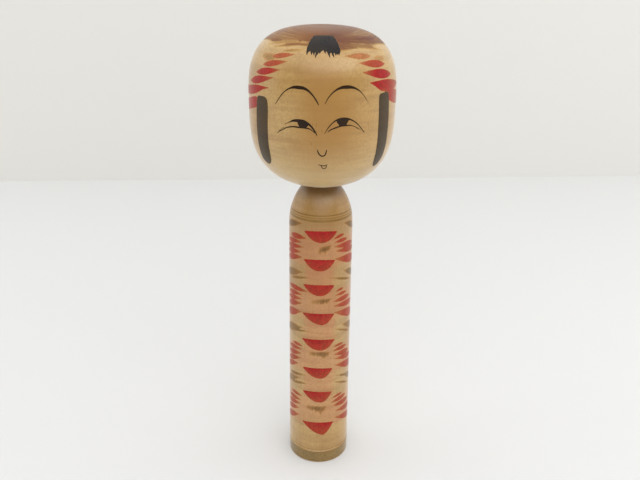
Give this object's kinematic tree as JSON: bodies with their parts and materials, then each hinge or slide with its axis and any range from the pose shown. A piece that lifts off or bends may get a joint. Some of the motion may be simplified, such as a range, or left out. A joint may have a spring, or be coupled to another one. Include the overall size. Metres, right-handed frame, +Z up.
{
  "type": "kokeshi doll",
  "caption": "Turned wooden kokeshi doll: a cylindrical body with a rounded-square head that plugs onto the neck tenon and turns.",
  "frame": {"origin": "centre of the flat base", "axes": "+Z up along the turning axis, -Y the way the painted face looks, +X to the right of somebody facing the doll"},
  "size_m": [0.0886, 0.0884, 0.3],
  "materials": {
    "body_wood": "waxed, satin",
    "head_wood": "waxed, satin",
    "red_dye": "dye soaked into waxed wood",
    "black_ink": "brushed ink, waxed",
    "green_dye": "faded dye soaked into waxed wood"
  },
  "bodies": {
    "body": {"body": "body_wood"},
    "head": {"head": "head_wood"}
  },
  "joints": [
    {"name": "head_turn", "type": "hinge", "parent": "body", "child": "head", "pos_m": [0, 0, 0.2055], "axis": [0, 0, 1], "continuous": true}
  ]
}
